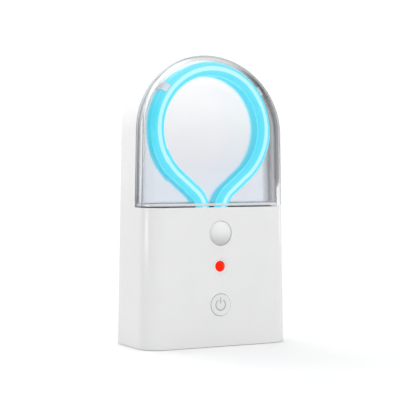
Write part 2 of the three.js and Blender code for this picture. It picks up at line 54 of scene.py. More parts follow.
MM = 0.001
base_width = 76
body_depth = 33.4
body_height = 136
side_draft = math.radians(1.12)
front_radius = 9.3
crown_rounding = 5.5
crown_ease = 1.25
back_radius = 2
wall = 2
gap = 0.3
foot_stand = 0.2
foot_radius = 4
foot_recess = 1.2

window_seam_z = 65.1
window_back_y = -1.6
chamber_floor_z = 66.6
chamber_floor_thickness = 1.2
reflector_front_y = -4
reflector_back_y = -1.6

lamp_radius = 3.1
lamp_y = -7.3
loop_radius = 28
loop_centre_z = 101
loop_tangent_angle = math.radians(50)
leg_x = 4.75
leg_bend_radius = 12
lamp_end_z = 60.6
clip_angle = math.radians(37)
clip_thickness = 0.8
clip_length = 3.8

sensor_z = 52.75
sensor_radius = 5.7
sensor_rise = 2.5
led_z = 37.4
led_radius = 2.45
bezel_radius = led_radius + 1.3
bezel_depth = 0.9
button_z = 19.5
button_radius = 5.05

bay_half_width = 29.1
bay_bottom_z = 4.8
bay_top_z = 60.2
bay_front_y = -0.1
bay_wall = 1.1
door_rebate = 0.6

front_y = -body_depth / 2
back_y = body_depth / 2
front_inner_y = front_y + wall
back_inner_y = back_y - wall
arch_centre_z = (body_height - base_width / 2 * math.cos(side_draft)) / (
    1 - math.sin(side_draft)
)
arch_radius = body_height - arch_centre_z
depth_shift = sensor_rise / 2
TO_FRAME = Matrix.Scale(MM, 4) @ Matrix.Translation((0, depth_shift, 0))
ROOMY = 200


# ---------- Mesh making ----------


def piece_from(bm, name):
    bmesh.ops.recalc_face_normals(bm, faces=bm.faces)
    bm.transform(TO_FRAME)
    mesh = bpy.data.meshes.new(name)
    bm.to_mesh(mesh)
    bm.free()
    piece = bpy.data.objects.new(name, mesh)
    scene.collection.objects.link(piece)
    return piece


def lofted(rings, name="tool"):
    """A closed solid through rings of points, with a flat face on the first and last ring."""
    bm = bmesh.new()
    layers = [[bm.verts.new(point) for point in ring] for ring in rings]
    for near, far in zip(layers, layers[1:]):
        for i in range(len(near)):
            j = (i + 1) % len(near)
            bm.faces.new((near[i], near[j], far[j], far[i]))
    bm.faces.new(layers[0])
    bm.faces.new(layers[-1])
    return piece_from(bm, name)


def block(x0, x1, y0, y1, z0, z1, name="tool"):
    def ring(z):
        return [(x0, y0, z), (x1, y0, z), (x1, y1, z), (x0, y1, z)]

    return lofted([ring(z0), ring(z1)], name)


def turned(profile, axis, centre, name="tool", segments=64):
    """A turned solid: the profile is a list of (radius, place along the axis)."""
    bm = bmesh.new()
    rings = []
    for radius, along in profile:
        count = segments if radius > 0 else 1
        ring = []
        for i in range(count):
            angle = 2 * math.pi * i / segments
            u, v = radius * math.cos(angle), radius * math.sin(angle)
            if axis == "Y":
                point = (centre[0] + u, along, centre[1] + v)
            else:
                point = (centre[0] + u, centre[1] + v, along)
            ring.append(bm.verts.new(point))
        rings.append(ring)
    for near, far in zip(rings, rings[1:]):
        for i in range(segments):
            j = (i + 1) % segments
            corners = [near[i % len(near)], near[j % len(near)]]
            corners += [far[j % len(far)], far[i % len(far)]]
            face = list(dict.fromkeys(corners))
            if len(face) > 2:
                bm.faces.new(face)
    for ring in (rings[0], rings[-1]):
        if len(ring) > 1:
            bm.faces.new(ring)
    return piece_from(bm, name)


def rod_y(x, z, radius, y0, y1, segments=64):
    return turned([(radius, y0), (radius, y1)], "Y", (x, z), segments=segments)


def swept(path, radius, sides, name):
    """A tube along a path that stays in one plane of equal y."""
    points = [Vector(point) for point in path]
    rings = []
    for i, point in enumerate(points):
        before, after = points[max(i - 1, 0)], points[min(i + 1, len(points) - 1)]
        tangent = (after - before).normalized()
        outward = tangent.cross(Vector((0, 1, 0)))
        ring = []
        for k in range(sides):
            angle = 2 * math.pi * k / sides
            offset = outward * math.cos(angle) + Vector((0, math.sin(angle), 0))
            ring.append(point + offset * radius)
        rings.append(ring)
    return lofted(rings, name)


def evaluated(piece):
    """Settles a piece's modifiers into its mesh."""
    graph = bpy.context.evaluated_depsgraph_get()
    mesh = bpy.data.meshes.new_from_object(piece.evaluated_get(graph))
    piece.modifiers.clear()
    piece.data = mesh
    return piece


def combined(piece, operation, *tools):
    for tool in tools:
        modifier = piece.modifiers.new("combine", "BOOLEAN")
        modifier.operation = operation
        modifier.object = tool
        modifier.solver = "MANIFOLD"
    bpy.context.view_layer.update()
    evaluated(piece)
    for tool in tools:
        bpy.data.objects.remove(tool)
    return piece


def cut(piece, *tools):
    return combined(piece, "DIFFERENCE", *tools)


def joined(piece, *tools):
    return combined(piece, "UNION", *tools)


def kept(piece, *tools):
    return combined(piece, "INTERSECT", *tools)


def smoothed(piece, bevel=0.0, segments=3, sharp=40):
    """Rounds the hard edges, shades the rest smooth, and keeps the flat faces flat."""
    if bevel:
        modifier = piece.modifiers.new("round", "BEVEL")
        modifier.width = bevel * MM
        modifier.segments = segments
        modifier.limit_method = "ANGLE"
        modifier.angle_limit = math.radians(32)
        bpy.context.view_layer.update()
        evaluated(piece)
    piece.data.shade_smooth()
    piece.data.set_sharp_from_angle(angle=math.radians(sharp))
    weighted = piece.modifiers.new("flat faces", "WEIGHTED_NORMAL")
    weighted.keep_sharp = True
    return piece


# ---------- The body's envelope ----------

ARC_STEPS = 96


def arch_ring(inset, y, low_z=-20, crown_inset=0.0, crown_depth=0.0):
    """The body's front outline, moved inward by inset: two leaning sides and an arch.

    The crown values move the top of the arch further inward and back, less so at its sides.
    """
    half = base_width / 2 - math.tan(side_draft) * low_z - inset / math.cos(side_draft)
    ring = [(-half, y, low_z), (half, y, low_z)]
    for i in range(ARC_STEPS + 1):
        angle = side_draft + (math.pi - 2 * side_draft) * i / ARC_STEPS
        rise = math.sin(angle) ** crown_ease
        radius = arch_radius - inset - crown_inset * rise
        x = radius * math.cos(angle)
        z = arch_centre_z + radius * math.sin(angle)
        ring.append((x, y + crown_depth * rise, z))
    return ring


def arch_run(inset, y0, y1, front=0.0, back=0.0, low_z=-20, name="tool"):
    """The outline run from y0 to y1, with its front and back edges rounded.

    A rounded front edge has a wider rounding at the top of the arch than at its sides.
    """
    stations = []
    steps = 14
    if front:
        for i in range(steps + 1):
            angle = math.pi / 2 * i / steps
            inward = 1 - math.sin(angle)
            deep = 1 - math.cos(angle)
            now = (inset + front * inward, y0 + front * deep)
            stations.append((*now, crown_rounding * inward, crown_rounding * deep))
    else:
        stations.append((inset, y0, 0, 0))
    if back:
        for i in range(steps // 2 + 1):
            angle = math.pi / 2 * (1 - 2 * i / steps)
            turn = (back * (1 - math.sin(angle)), back * (1 - math.cos(angle)))
            stations.append((inset + turn[0], y1 - turn[1], 0, 0))
    else:
        stations.append((inset, y1, 0, 0))
    rings = []
    for now, y, crown_inset, crown_depth in stations:
        rings.append(arch_ring(now, y, low_z, crown_inset, crown_depth))
    return lofted(rings, name)


def outer_body(name="tool", low_z=-20):
    return arch_run(0, front_y, back_y, front_radius, back_radius, low_z, name)


def inner_body(low_z=-20, extra=0.0):
    """The space inside the body's wall, smaller all round by extra, and open at the back."""
    inset = wall + extra
    start = front_inner_y + extra
    radius = front_radius - wall - extra
    return arch_run(inset, start, back_y + ROOMY, radius, low_z=low_z)


# ---------- Materials ----------


class Finish:
    """A Principled material with small helpers for its procedural detail."""

    def __init__(self, name, roughness, **sockets):
        self.material = bpy.data.materials.new(name)
        self.material.use_nodes = True
        self.nodes = self.material.node_tree.nodes
        self.links = self.material.node_tree.links
        self.shader = self.nodes["Principled BSDF"]
        self.shader.inputs["Roughness"].default_value = roughness
        for socket, value in sockets.items():
            self.shader.inputs[socket.replace("_", " ")].default_value = value
        self.place = self.nodes.new("ShaderNodeTexCoord").outputs["Object"]

    def stretched(self, x, y, z):
        mapping = self.nodes.new("ShaderNodeMapping")
        mapping.inputs["Scale"].default_value = (x, y, z)
        self.links.new(self.place, mapping.inputs["Vector"])
        return mapping.outputs["Vector"]

    def noise(self, size_mm, detail=2.0, place=None):
        node = self.nodes.new("ShaderNodeTexNoise")
        node.inputs["Scale"].default_value = 1 / (size_mm * MM)
        node.inputs["Detail"].default_value = detail
        self.links.new(place or self.place, node.inputs["Vector"])
        return node.outputs["Fac"]

    def ramp(self, factor, *stops):
        node = self.nodes.new("ShaderNodeValToRGB")
        elements = node.color_ramp.elements
        while len(elements) < len(stops):
            elements.new(0.5)
        for element, (position, colour) in zip(elements, stops):
            element.position = position
            element.color = (*colour, 1)
        self.links.new(factor, node.inputs["Fac"])
        return node.outputs["Color"]

    def ranged(self, factor, low, high, start=0, end=1, interpolation="LINEAR"):
        """Turns a factor that runs from start to end into a value from low to high."""
        node = self.nodes.new("ShaderNodeMapRange")
        node.interpolation_type = interpolation
        node.inputs["From Min"].default_value = start
        node.inputs["From Max"].default_value = end
        node.inputs["To Min"].default_value = low
        node.inputs["To Max"].default_value = high
        self.links.new(factor, node.inputs["Value"])
        return node.outputs["Result"]

    def axes(self, vector=None):
        node = self.nodes.new("ShaderNodeSeparateXYZ")
        self.links.new(vector or self.place, node.inputs["Vector"])
        return node.outputs

    def maths(self, operation, *values):
        node = self.nodes.new("ShaderNodeMath")
        node.operation = operation
        for socket, value in zip(node.inputs, values):
            if isinstance(value, (int, float)):
                socket.default_value = value
            else:
                self.links.new(value, socket)
        return node.outputs["Value"]

    def feed(self, socket, output):
        self.links.new(output, self.shader.inputs[socket])

    def bump(self, height, depth_mm, strength=1.0):
        node = self.nodes.new("ShaderNodeBump")
        node.inputs["Distance"].default_value = depth_mm * MM
        node.inputs["Strength"].default_value = strength
        self.links.new(height, node.inputs["Height"])
        self.links.new(node.outputs["Normal"], self.shader.inputs["Normal"])


def moulded(name, colour, roughness, grain_mm=0.5, grain_depth=0.004, spread=0.02, **sockets):
    """Moulded plastic: faint flow clouds in the colour, uneven gloss and a fine grain."""
    finish = Finish(name, roughness, **sockets)
    dark = [value * (1 - spread) for value in colour]
    clouds = finish.noise(14, 3)
    finish.feed("Base Color", finish.ramp(clouds, (0.3, dark), (0.7, colour)))
    uneven = finish.noise(5, 4)
    finish.feed("Roughness", finish.ranged(uneven, roughness * 0.88, roughness * 1.12))
    finish.bump(finish.noise(grain_mm, 2), grain_depth)
    return finish


white = (0.765, 0.765, 0.77)
housing_finish = moulded("housing plastic", white, 0.1)
bezel_painted_glow_finish = moulded("bezel plastic", (0.95, 0.93, 0.91), 0.12)
# The bezel's faint emission is a painted glow around the status light: the ring is no lamp.
bezel_painted_glow_finish.shader.inputs["Emission Color"].default_value = (1.0, 0.94, 0.92, 1)
bezel_painted_glow_finish.shader.inputs["Emission Strength"].default_value = 0.1
button_finish = moulded("button plastic", (0.74, 0.74, 0.745), 0.2)
back_finish = moulded("back plastic", (0.7, 0.7, 0.705), 0.42, 0.35, 0.012)
symbol_finish = moulded("symbol ink", (0.38, 0.38, 0.4), 0.5, 0.2)
rubber_finish = moulded("rubber foot", (0.46, 0.46, 0.47), 0.8, 0.25, 0.03, 0.08)
dark_finish = moulded("dark plastic", (0.02, 0.021, 0.024), 0.45, 0.3, 0.01, 0.2)
ceramic_finish = moulded("ceramic", (0.72, 0.69, 0.6), 0.6, 0.4, 0.03, 0.05)
ferrite_finish = moulded("ferrite", (0.05, 0.05, 0.054), 0.6, 0.3, 0.03, 0.2)
white_wire_finish = moulded("white wire", (0.75, 0.75, 0.73), 0.5, 0.4, 0.01)
red_wire_finish = moulded("red wire", (0.42, 0.03, 0.015), 0.45, 0.4, 0.01)
black_wire_finish = moulded("black wire", (0.02, 0.02, 0.022), 0.45, 0.4, 0.01)
clip_finish = moulded(
    "clip plastic", (0.9, 0.92, 0.94), 0.25, 0.8, 0.004, Transmission_Weight=0.35
)


def metal(name, colour, roughness, grain_mm, stretch=(1, 1, 1), spread=0.06):
    """Worked metal: a grain along one direction in the gloss, the colour and the relief."""
    finish = Finish(name, roughness, Metallic=1.0)
    grain = finish.noise(grain_mm, 4, finish.stretched(*stretch))
    dark = [value * (1 - spread) for value in colour]
    finish.feed("Base Color", finish.ramp(grain, (0.3, dark), (0.7, colour)))
    finish.feed("Roughness", finish.ranged(grain, roughness * 0.8, roughness * 1.2))
    finish.bump(finish.noise(0.4, 2), 0.0003)
    return finish


can_finish = metal("sensor can", (0.72, 0.73, 0.75), 0.3, 0.6)
spring_finish = metal("spring steel", (0.74, 0.75, 0.77), 0.26, 0.3)
screw_finish = metal("screw steel", (0.56, 0.57, 0.59), 0.3, 0.2)


def clear_finish(name, side_from, side_to, shade_behind, plain_stops, side_stops):
    """Clear polycarbonate with painted shade: it darkens when seen edge on, more in its side walls.

    Light from lamps and from matt surfaces goes straight through. The edge-on darkening is partly
    the thick plastic's own absorption and partly painted shade for the dark that its edges show. A
    face counts as a side wall as its normal turns sideways, from side_from to side_to. The side
    walls' painted shade shows on their rear side only when the fourth argument is 1, and on their
    front side only when it is 0.
    """
    finish = Finish(name, 0.02, IOR=1.49, Transmission_Weight=1.0)
    haze = finish.noise(9, 3)
    layer = finish.nodes.new("ShaderNodeLayerWeight")
    layer.inputs["Blend"].default_value = 0.5
    facing = finish.maths("ADD", layer.outputs["Facing"], finish.ranged(haze, 0, 0.01))
    surface = finish.nodes.new("ShaderNodeNewGeometry").outputs
    turned_away = finish.maths("ABSOLUTE", finish.axes(surface["Normal"])["X"])
    sideways = finish.ranged(turned_away, 0, 1, side_from, side_to, "SMOOTHSTEP")
    behind = finish.maths("SUBTRACT", 1 - shade_behind, surface["Backfacing"])
    # Painted shade on the side walls, on one side of each face.
    painted_side_shade = finish.maths("MULTIPLY", sideways, finish.maths("ABSOLUTE", behind))
    edge_shade_mix = finish.nodes.new("ShaderNodeMix")
    edge_shade_mix.data_type = "RGBA"
    finish.links.new(painted_side_shade, edge_shade_mix.inputs["Factor"])
    finish.links.new(finish.ramp(facing, *plain_stops), edge_shade_mix.inputs["A"])
    finish.links.new(finish.ramp(facing, *side_stops), edge_shade_mix.inputs["B"])
    finish.feed("Base Color", edge_shade_mix.outputs["Result"])
    finish.feed("Roughness", finish.ranged(haze, 0.01, 0.03))
    open_air = finish.nodes.new("ShaderNodeBsdfTransparent")
    open_air.inputs["Color"].default_value = (0.97, 0.975, 0.985, 1)
    path = finish.nodes.new("ShaderNodeLightPath")
    either = finish.maths(
        "MAXIMUM", path.outputs["Is Shadow Ray"], path.outputs["Is Diffuse Ray"]
    )
    mix = finish.nodes.new("ShaderNodeMixShader")
    finish.links.new(either, mix.inputs["Fac"])
    finish.links.new(finish.shader.outputs["BSDF"], mix.inputs[1])
    finish.links.new(open_air.outputs["BSDF"], mix.inputs[2])
    output = finish.nodes["Material Output"]
    finish.links.new(mix.outputs["Shader"], output.inputs["Surface"])
    return finish


def lamp_finish():
    """A glowing tube with a painted highlight: a paler band along its front, turned a little to the
    left.
    """
    finish = Finish("lamp glow", 0.12, Specular_IOR_Level=0.3)
    normal = finish.nodes.new("ShaderNodeNewGeometry").outputs["Normal"]
    facing = finish.nodes.new("ShaderNodeVectorMath")
    facing.operation = "DOT_PRODUCT"
    highlight_turn = 0.08
    facing.inputs[1].default_value = (-math.sin(highlight_turn), -math.cos(highlight_turn), 0)
    finish.links.new(normal, facing.inputs[0])
    clouds = finish.noise(7, 3)
    shade = finish.maths("MULTIPLY", clouds, 0.02)
    position = finish.maths("ADD", facing.outputs["Value"], shade)
    # The paler band at the top of this ramp is a painted highlight, standing for a light in front
    # reflected in the tube.
    glow = finish.ramp(
        position,
        (0.0, (0.05, 0.72, 0.92)),
        (0.90, (0.055, 0.75, 0.94)),
        (0.955, (0.06, 0.77, 0.95)),
        (0.975, (0.42, 0.92, 1.0)),
        (1.0, (0.46, 0.94, 1.0)),
    )
    finish.feed("Emission Color", glow)
    finish.shader.inputs["Emission Strength"].default_value = 1.0
    finish.shader.inputs["Base Color"].default_value = (0.01, 0.02, 0.02, 1)
    finish.bump(finish.noise(3, 2), 0.004)
    return finish


def satin_painted_reflection_finish():
    """Satin aluminium with a painted reflection: its colour is painted brightest at the top of the
    arch and darker near its foot.
    """
    finish = metal("satin aluminium", (0.9, 0.9, 0.9), 0.2, 6)
    axes = finish.axes()
    height = finish.maths("MULTIPLY", axes["Z"], 1 / (body_height * MM))
    uneven = finish.maths("ADD", height, finish.ranged(finish.noise(9, 2), -0.01, 0.01))
    # Painted reflection: this colour ramp by height makes the top bright and the foot duller.
    finish.feed(
        "Base Color",
        finish.ramp(
            uneven,
            (0.55, (0.76, 0.78, 0.835)),
            (0.64, (0.81, 0.815, 0.845)),
            (0.71, (0.86, 0.86, 0.87)),
            (0.83, (0.965, 0.96, 0.955)),
            (0.92, (0.99, 0.985, 0.98)),
        ),
    )
    return finish


def painted_edge_glow_finish():
    """The window's rear edge, frosted where it meets the rim. Its glow is painted: an emission that
    stands for lamp light carried in the wall.
    """
    finish = Finish("glowing edge", 0.6, Specular_IOR_Level=0.1)
    axes = finish.axes()
    height = finish.maths("MULTIPLY", axes["Z"], 1 / (body_height * MM))
    uneven = finish.maths("ADD", height, finish.ranged(finish.noise(4, 2), -0.02, 0.02))
    glow = finish.ramp(
        uneven,
        (0.5, (0.3, 0.33, 0.37)),
        (0.75, (0.42, 0.5, 0.54)),
        (0.86, (0.62, 0.78, 0.8)),
        (1.0, (0.72, 0.9, 0.92)),
    )
    # Only the inner part of the edge has the painted glow. The outer part stays dark.
    from_axis = finish.nodes.new("ShaderNodeCombineXYZ")
    above = finish.maths("SUBTRACT", axes["Z"], arch_centre_z * MM)
    finish.links.new(axes["X"], from_axis.inputs["X"])
    finish.links.new(finish.maths("MAXIMUM", above, 0), from_axis.inputs["Z"])
    reach = finish.nodes.new("ShaderNodeVectorMath")
    reach.operation = "LENGTH"
    finish.links.new(from_axis.outputs["Vector"], reach.inputs[0])
    fade_start = (arch_radius - 0.95) * MM
    fade_end = (arch_radius - 0.35) * MM
    strength = finish.ranged(
        reach.outputs["Value"], 0.9, 0.04, fade_start, fade_end, "SMOOTHSTEP"
    )
    finish.feed("Emission Color", glow)
    finish.feed("Emission Strength", strength)
    finish.shader.inputs["Base Color"].default_value = (0.12, 0.13, 0.14, 1)
    return finish


def led_finish():
    finish = Finish("status red", 0.35, Specular_IOR_Level=0.08)
    centre = finish.noise(1.5, 2)
    glow = finish.ramp(centre, (0.3, (0.93, 0.014, 0.0)), (0.7, (0.97, 0.018, 0.0)))
    finish.feed("Emission Color", glow)
    finish.feed("Base Color", finish.ramp(centre, (0.3, (0.06, 0.001, 0)), (0.7, (0.08, 0.002, 0))))
    finish.shader.inputs["Emission Strength"].default_value = 1.0
    return finish


def lens_painted_shade_finish():
    """Milky lens plastic with painted shade: its colour is greyer on its lower half, where the
    surface faces down.
    """
    finish = Finish("lens plastic", 0.3)
    normal = finish.nodes.new("ShaderNodeNewGeometry").outputs["Normal"]
    upward = finish.maths("MULTIPLY_ADD", finish.axes(normal)["Z"], 0.5, 0.5)
    wobble = finish.ranged(finish.noise(1.6, 2), -0.03, 0.03)
    height = finish.maths("ADD", upward, wobble)
    # Painted shade: faces turned down get a greyer colour and faces turned up a lighter one.
    finish.feed(
        "Base Color",
        finish.ramp(
            height,
            (0.2, (0.55, 0.55, 0.555)),
            (0.4, (0.7, 0.7, 0.705)),
            (0.56, (0.79, 0.79, 0.795)),
            (0.8, (0.82, 0.82, 0.825)),
        ),
    )
    finish.bump(finish.noise(0.9, 2), 0.006)
    return finish


def board_finish():
    finish = Finish("board green", 0.4)
    traces = finish.nodes.new("ShaderNodeTexVoronoi")
    traces.distance = "MANHATTAN"
    traces.inputs["Scale"].default_value = 1 / (4 * MM)
    finish.links.new(finish.place, traces.inputs["Vector"])
    distance = traces.outputs["Distance"]
    finish.feed(
        "Base Color",
        finish.ramp(distance, (0.3, (0.015, 0.13, 0.045)), (0.36, (0.03, 0.2, 0.08))),
    )
    finish.bump(distance, 0.02)
    return finish


def cell_finish():
    """A cell's printed sleeve: a dark band over plain silver, split along its length."""
    finish = Finish("cell sleeve", 0.32, Metallic=0.5)
    pattern_height = 65 * MM
    height = finish.maths("MULTIPLY", finish.axes()["Z"], 1 / pattern_height)
    wobble = finish.maths("MULTIPLY", finish.noise(6, 2), 0.004)
    position = finish.maths("ADD", height, wobble)
    finish.feed(
        "Base Color",
        finish.ramp(
            position,
            (0.0, (0.5, 0.51, 0.53)),
            (0.34, (0.55, 0.56, 0.58)),
            (0.345, (0.05, 0.09, 0.16)),
            (0.66, (0.05, 0.09, 0.16)),
            (0.665, (0.55, 0.56, 0.58)),
        ),
    )
    finish.bump(finish.noise(0.8, 2), 0.006)
    return finish


clearest = (0.97, 0.975, 0.985)
# Ramps for the window's edge-on darkening, which is partly painted shade.
plain_edge = [
    (0.0, clearest),
    (0.3, (0.96, 0.965, 0.975)),
    (0.5, (0.84, 0.845, 0.87)),
    (0.64, (0.84, 0.86, 0.88)),
    (0.76, (0.28, 0.28, 0.3)),
    (1.0, (0.1, 0.1, 0.11)),
]
clear_outside = clear_finish(
    "clear plastic",
    0.1,
    0.4,
    1,
    plain_edge,
    [
        (0.0, clearest),
        (0.2, (0.9, 0.9, 0.92)),
        (0.4, (0.15, 0.15, 0.165)),
        (1.0, (0.1, 0.1, 0.11)),
    ],
)
clear_inside = clear_finish(
    "clear plastic inner face",
    0.35,
    0.75,
    0,
    plain_edge,
    [
        (0.0, clearest),
        (0.1, (0.95, 0.955, 0.97)),
        (0.2, (0.5, 0.5, 0.52)),
        (0.5, (0.04, 0.04, 0.045)),
        (1.0, (0.03, 0.03, 0.034)),
    ],
)
lamp_glow_finish = lamp_finish()
status_finish = led_finish()
edge_painted_glow_finish = painted_edge_glow_finish()
reflector_painted_reflection_finish = satin_painted_reflection_finish()
milky_painted_shade_finish = lens_painted_shade_finish()
green_finish = board_finish()
sleeve_finish = cell_finish()


def settle(piece, finish, body, slot, *nodes):
    """Gives a finished piece its material and its body, and hides the nodes it stands for. The slot
    is not used.
    """
    piece.data.materials.clear()
    piece.data.materials.append(finish.material)
    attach(piece, body)
    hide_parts(*nodes)
    return piece


# ---------- Housing, window and back ----------

case_screw_x = 32.4
upper_angle = math.radians(58)
upper_reach = arch_radius - wall - 3
upper_x = upper_reach * math.cos(upper_angle)
upper_z = arch_centre_z + upper_reach * math.sin(upper_angle)
case_screws = [
    (-case_screw_x, 7),
    (case_screw_x, 7),
    (-case_screw_x, 58),
    (case_screw_x, 58),
    (-upper_x, upper_z),
    (upper_x, upper_z),
]
screw_head_radius = 1.8
feet = {
    "front_left": (-28.5, -9.8),
    "front_right": (28.5, -9.8),
    "back_left": (-28.5, 9),
    "back_right": (28.5, 9),
}


def main_housing():
    shell = outer_body("body_shell", foot_stand)
    rim_y = window_back_y + gap
    top_z = window_seam_z - gap
    shell = cut(shell, inner_body(foot_stand + wall))
    shell = cut(shell, block(-ROOMY, ROOMY, -ROOMY, rim_y, top_z, ROOMY))
    holes = [
        rod_y(0, sensor_z, sensor_radius + 0.06, front_y - 1, front_inner_y + 1),
        rod_y(0, button_z, button_radius + 0.18, front_y - 1, front_inner_y + 1),
    ]
    countersink = turned(
        [
            (bezel_radius + 0.04, front_y - 1),
            (bezel_radius + 0.04, front_y + bezel_depth + 0.05),
            (led_radius + 0.3, front_y + bezel_depth + 0.05),
            (led_radius + 0.3, front_inner_y + 1),
        ],
        "Y",
        (0, led_z),
    )
    seats = [
        turned(
            [(foot_radius + gap, foot_stand - 1), (foot_radius + gap, foot_stand + foot_recess)],
            "Z",
            place,
        )
        for place in feet.values()
    ]
    shell = cut(shell, *holes, countersink, *seats)
    smoothed(shell, 0.32)
    return settle(shell, housing_finish, "housing", "white_plastic", "main_housing")


def clear_cover():
    cover = outer_body("window", window_seam_z)
    cover = cut(cover, inner_body())
    cover = kept(cover, block(-ROOMY, ROOMY, -ROOMY, window_back_y, window_seam_z, ROOMY))
    smoothed(cover, 0.2, 2)
    settle(cover, clear_outside, "housing", "clear_plastic", "clear_cover")
    cover.data.materials.append(clear_inside.material)
    cover.data.materials.append(edge_painted_glow_finish.material)
    for face in cover.data.polygons:
        x, y, z = face.center / MM
        outward = Vector((x, 0, max(0, z - arch_centre_z))).normalized()
        faces_inward = face.normal.dot(outward) - face.normal.y < -0.02
        on_rear_edge = face.normal.y > 0.9 and y > window_back_y - 0.5
        if faces_inward:
            face.material_index = 1
        if on_rear_edge:
            face.material_index = 2


def back_cover():
    cover = arch_run(wall + gap, back_inner_y, back_y, low_z=foot_stand + wall + gap)
    cover.name = "back_plate"
    bay = block(
        -bay_half_width - bay_wall,
        bay_half_width + bay_wall,
        bay_front_y - 0.9,
        back_inner_y + 0.5,
        bay_bottom_z - bay_wall,
        bay_top_z + bay_wall,
    )
    cover = joined(cover, bay)
    hollow = block(
        -bay_half_width, bay_half_width, bay_front_y, ROOMY, bay_bottom_z, bay_top_z
    )
    seat = block(
        -bay_half_width - door_rebate,
        bay_half_width + door_rebate,
        back_inner_y,
        ROOMY,
        bay_bottom_z - door_rebate,
        bay_top_z + door_rebate,
    )
    heads = [
        turned([(screw_head_radius + gap, back_y - 1.3), (screw_head_radius + gap, 40)], "Y", place)
        for place in case_screws
    ]
    cover = cut(cover, hollow, seat, *heads)
    smoothed(cover, 0.25, 2)
    return settle(cover, back_finish, "housing", "back_plastic", "back_cover")


def battery_door():
    half_width = bay_half_width + door_rebate - gap
    low_z = bay_bottom_z - door_rebate + gap
    high_z = bay_top_z + door_rebate - gap
    door = block(
        -half_width, half_width, back_inner_y + gap, back_y, low_z, high_z, "bay_door"
    )
    notch = turned([(4.5, back_y - 1.1), (6, back_y + 1)], "Y", (0, high_z - 7.5))
    groove_half_width, groove_height, groove_pitch = 7, 0.8, 1.8
    grooves = []
    for i in range(4):
        z = high_z - 17 - groove_pitch * i
        grooves.append(
            block(
                -groove_half_width,
                groove_half_width,
                back_y - 0.35,
                back_y + 1,
                z,
                z + groove_height,
            )
        )
    door = cut(door, notch, *grooves)
    smoothed(door, 0.22, 2)
    return settle(door, back_finish, "battery_door", "back_plastic", "battery_door")


# ---------- Lamp chamber ----------


def reflector_panel():
    low_z = chamber_floor_z + 0.05
    panel = arch_run(
        wall + gap, reflector_front_y, reflector_back_y, low_z=low_z, name="mirror_panel"
    )
    smoothed(panel, 0.3)
    return settle(
        panel, reflector_painted_reflection_finish, "housing", "satin_reflector", "reflector_panel"
    )


def chamber_floor():
    plate = inner_body(chamber_floor_z - chamber_floor_thickness, gap)
    plate.name = "lamp_deck"
    plate = kept(
        plate,
        block(
            -ROOMY,
            ROOMY,
            front_inner_y + gap,
            reflector_back_y,
            chamber_floor_z - chamber_floor_thickness,
            chamber_floor_z,
        ),
    )
    hole_radius = lamp_radius + 0.8
    hole_x = 5.05
    holes = [
        turned([(hole_radius, 60), (hole_radius, 70)], "Z", (side * hole_x, lamp_y))
        for side in (-1, 1)
    ]
    plate = cut(plate, *holes)
    smoothed(plate, 0.25, 2)
    return settle(plate, housing_finish, "housing", "white_plastic", "chamber_floor")


def lamp_path():
    """The lamp's centre line: leg, outward bend, straight run and loop, then the same back."""
    turn = loop_tangent_angle
    bend_start = leg_x + leg_bend_radius * (1 - math.cos(turn))
    run_start = loop_radius * math.cos(turn)
    run = (run_start - bend_start) / math.sin(turn)
    run_low = loop_centre_z - loop_radius * math.sin(turn) - run * math.cos(turn)
    bend_low = run_low - leg_bend_radius * math.sin(turn)
    half = [(leg_x, lamp_end_z), (leg_x, bend_low)]
    bend_steps = 16
    for i in range(1, bend_steps + 1):
        angle = turn * i / bend_steps
        x = leg_x + leg_bend_radius * (1 - math.cos(angle))
        half.append((x, bend_low + leg_bend_radius * math.sin(angle)))
    loop_steps = 64
    for i in range(loop_steps + 1):
        angle = -turn + (math.pi / 2 + turn) * i / loop_steps
        x = loop_radius * math.cos(angle)
        half.append((x, loop_centre_z + loop_radius * math.sin(angle)))
    mirrored = [(-x, z) for x, z in reversed(half[:-1])]
    return [(x, lamp_y, z) for x, z in half + mirrored]


def uv_lamp():
    tube = swept(lamp_path(), lamp_radius, 40, "glow_tube")
    smoothed(tube)
    return settle(tube, lamp_glow_finish, "housing", "lamp_glow", "uv_lamp")


def lamp_clip(side, node):
    """A hook on the reflector that stands beside the tube and curls over its front."""
    inner = lamp_radius + gap
    outer = inner + clip_thickness
    start, end = math.radians(-35), math.radians(58)
    steps = 24
    angles = [start + (end - start) * i / steps for i in range(steps + 1)]
    outline = [(outer * math.cos(a), outer * math.sin(a)) for a in angles]
    tip = ((inner + outer) / 2 * math.cos(end), (inner + outer) / 2 * math.sin(end))
    tip_radius = (outer - inner) / 2
    tip_steps = 6
    for i in range(1, tip_steps):
        a = end + math.pi * i / tip_steps
        outline.append((tip[0] + tip_radius * math.cos(a), tip[1] + tip_radius * math.sin(a)))
    outline += [(inner * math.cos(a), inner * math.sin(a)) for a in reversed(angles)]
    outward = Vector((side * math.cos(clip_angle), 0, math.sin(clip_angle)))
    forward = Vector((0, -1, 0))
    along = outward.cross(forward)
    centre = Vector((0, lamp_y, loop_centre_z)) + outward * loop_radius

    def drawn(points, name):
        rings = []
        for place in (-clip_length / 2, clip_length / 2):
            rings.append([centre + outward * u + forward * v + along * place for u, v in points])
        return lofted(rings, name)

    back = lamp_y - reflector_front_y + gap
    stem_inner, stem_front = 3, -1.8
    stem_outline = [
        (stem_inner, back),
        (outer, back),
        (outer, stem_front),
        (stem_inner, stem_front),
    ]
    clip = joined(drawn(outline, node + "_hook"), drawn(stem_outline, "tool"))
    smoothed(clip, 0.35)
    return settle(clip, clip_finish, "housing", "frosted_plastic", node)


# ---------- Controls ----------


